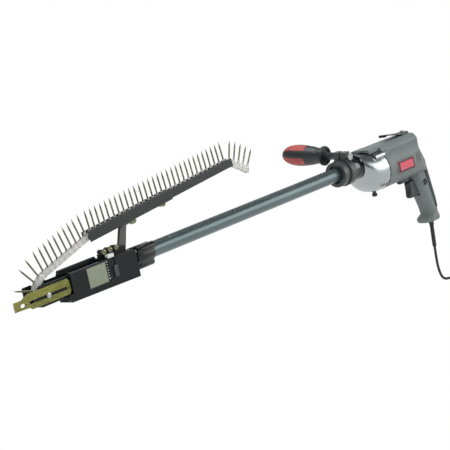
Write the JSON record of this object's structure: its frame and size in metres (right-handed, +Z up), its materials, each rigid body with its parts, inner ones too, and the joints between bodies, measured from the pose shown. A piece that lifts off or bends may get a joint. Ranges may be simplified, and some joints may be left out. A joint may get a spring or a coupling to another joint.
{
  "type": "auto-feed screwdriver",
  "caption": "Corded pistol-grip screwdriver with a long drive tube, side handle and a feed head that takes collated screws from a rail on a strut.",
  "frame": {"origin": "centre of the hand grip, where the hand closes on it", "axes": "+X runs back from the nose towards the motor, so the nose points along -X; +Z is up; -Y is the tool's left side"},
  "size_m": [1.1289, 0.2279, 0.4287],
  "materials": {
    "housing_plastic": "moulded grey-green plastic",
    "grip_rubber": "black soft overmould",
    "cast_aluminium": "die-cast, lightly blasted",
    "dark_steel": "dark painted steel",
    "collar_steel": "turned and polished steel",
    "tube_steel": "grey-green painted steel tube",
    "coupler_plastic": "glass-filled dark plastic",
    "head_plastic": "dark moulded feed head",
    "label_sheet": "bare pale label plate",
    "name_plate": "bare red plate",
    "nylon": "white nylon",
    "zinc_steel": "bright zinc plated",
    "black_plastic": "black moulded plastic",
    "bracket_zinc": "yellow zinc plated screws and bolts",
    "rail_steel": "dark painted folded steel",
    "strut_steel": "painted steel plate",
    "nose_steel": "yellow passivated steel",
    "screw_zinc": "yellow zinc plated screws",
    "band_plastic": "clear pale flexible strip",
    "shaft_steel": "ground steel",
    "laminations": "laminated electrical steel",
    "handle_plastic": "charcoal moulded grip",
    "handle_red": "soft red inlays",
    "cord_rubber": "black rubber cord",
    "tie_plastic": "plain pale tie",
    "pin_brass": "nickel-free brass pins"
  },
  "bodies": {
    "tool": {"housing_left": "housing_plastic", "housing_right": "housing_plastic", "grip_rubber": "grip_rubber", "gearbox_case": "cast_aluminium", "gear_plate": "cast_aluminium", "housing_screws": "zinc_steel", "name_plate": "name_plate", "belt_hook": "dark_steel", "belt_hook_tip": "black_plastic", "switch_body": "black_plastic", "stator": "laminations", "brush_holders": "black_plastic", "bearings": "shaft_steel", "tube_adaptor": "dark_steel", "nose_collar": "collar_steel", "extension_tube": "tube_steel", "front_coupler": "coupler_plastic", "coupler_screws": "zinc_steel", "head_cheek_left": "head_plastic", "head_cheek_right": "head_plastic", "head_frame": "head_plastic", "label_plate": "label_sheet", "nylon_pad": "nylon", "rail_strut": "strut_steel", "rail_screws": "bracket_zinc", "rail_front": "rail_steel", "rail_rear": "rail_steel", "cord_relief": "cord_rubber", "cord_lead": "cord_rubber", "cord_coil": "cord_rubber", "coil_tie": "tie_plastic", "plug_body": "cord_rubber", "plug_pins": "pin_brass"},
    "trigger": {"trigger": "black_plastic"},
    "lock_on": {"lock_on_button": "black_plastic"},
    "reverse_lever": {"reverse_lever": "black_plastic"},
    "spindle_lock": {"spindle_lock_button": "black_plastic"},
    "armature": {"armature_shaft": "shaft_steel", "armature_core": "laminations", "cooling_fan": "black_plastic"},
    "spindle": {"spindle": "shaft_steel", "drive_gear": "shaft_steel", "drive_shaft": "shaft_steel", "drive_bit": "shaft_steel"},
    "clamp": {"clamp_ring": "dark_steel", "clamp_bolt": "zinc_steel"},
    "handle": {"handle_core": "handle_plastic", "handle_inserts": "handle_red"},
    "slider": {"slider_body": "head_plastic", "nosepiece_screw": "zinc_steel", "screws_front": "screw_zinc", "band_front": "band_plastic", "screws_span": "screw_zinc", "band_span": "band_plastic", "return_spring": "shaft_steel"},
    "strip": {"screws_rail": "screw_zinc", "band_rail": "band_plastic"},
    "nosepiece": {"nosepiece": "nose_steel"},
    "pawl": {"feed_pawl": "head_plastic"},
    "depth_selector": {"depth_selector": "black_plastic"}
  },
  "joints": [
    {"name": "trigger_squeeze", "type": "slide", "parent": "tool", "child": "trigger", "axis": [1, 0, 0], "range_m": [0, 0.007], "stiffness_N_per_m": 600, "springref_m": -0.003},
    {"name": "lock_on_press", "type": "slide", "parent": "tool", "child": "lock_on", "axis": [0, 1, 0], "range_m": [0, 0.002], "stiffness_N_per_m": 300, "springref_m": -0.002},
    {"name": "reverse_lever_swing", "type": "hinge", "parent": "tool", "child": "reverse_lever", "pos_m": [-0.04, 0, 0.035], "axis": [0, 0, 1], "range_deg": [-18, 18]},
    {"name": "spindle_lock_press", "type": "slide", "parent": "tool", "child": "spindle_lock", "axis": [0, 0, 1], "range_m": [0, 0.004], "stiffness_N_per_m": 400, "springref_m": -0.003},
    {"name": "armature_spin", "type": "hinge", "parent": "tool", "child": "armature", "pos_m": [-0.09, 0, 0.081], "axis": [1, 0, 0], "continuous": true},
    {"name": "spindle_spin", "type": "hinge", "parent": "tool", "child": "spindle", "pos_m": [-0.2, 0, 0.095], "axis": [1, 0, 0], "continuous": true},
    {"name": "side_handle_swivel", "type": "hinge", "parent": "tool", "child": "clamp", "pos_m": [-0.2216, 0, 0.095], "axis": [1, 0, 0], "range_deg": [-180, 180]},
    {"name": "handle_grip_twist", "type": "hinge", "parent": "clamp", "child": "handle", "pos_m": [-0.2216, -0.00253, 0.12389], "axis": [0, 0.9962, 0.0872], "continuous": true},
    {"name": "feed_slide", "type": "slide", "parent": "tool", "child": "slider", "axis": [1, 0, 0], "range_m": [0, 0.05], "stiffness_N_per_m": 300, "springref_m": -0.02, "deforming": ["return_spring"]},
    {"name": "strip_rise", "type": "slide", "parent": "slider", "child": "strip", "axis": [0, 0, 1], "range_m": [0, 0.0049], "deforming": ["screws_span", "band_span"]},
    {"name": "nosepiece_adjust", "type": "slide", "parent": "slider", "child": "nosepiece", "axis": [1, 0, 0], "range_m": [-0.03, 0.03]},
    {"name": "feed_pawl_swing", "type": "hinge", "parent": "slider", "child": "pawl", "pos_m": [-0.936, 0.0089, 0.104], "axis": [0, 1, 0], "range_deg": [0, 15]},
    {"name": "depth_selector_slide", "type": "slide", "parent": "tool", "child": "depth_selector", "axis": [0, 0, 1], "range_m": [-0.002, 0.012]}
  ],
  "couplings": [
    {"joint": "spindle_spin", "follows": "armature_spin", "ratio": -0.47368},
    {"joint": "strip_rise", "follows": "feed_slide", "ratio": 0.09629},
    {"joint": "feed_pawl_swing", "follows": "feed_slide", "rad_per_m": 4.887}
  ]
}
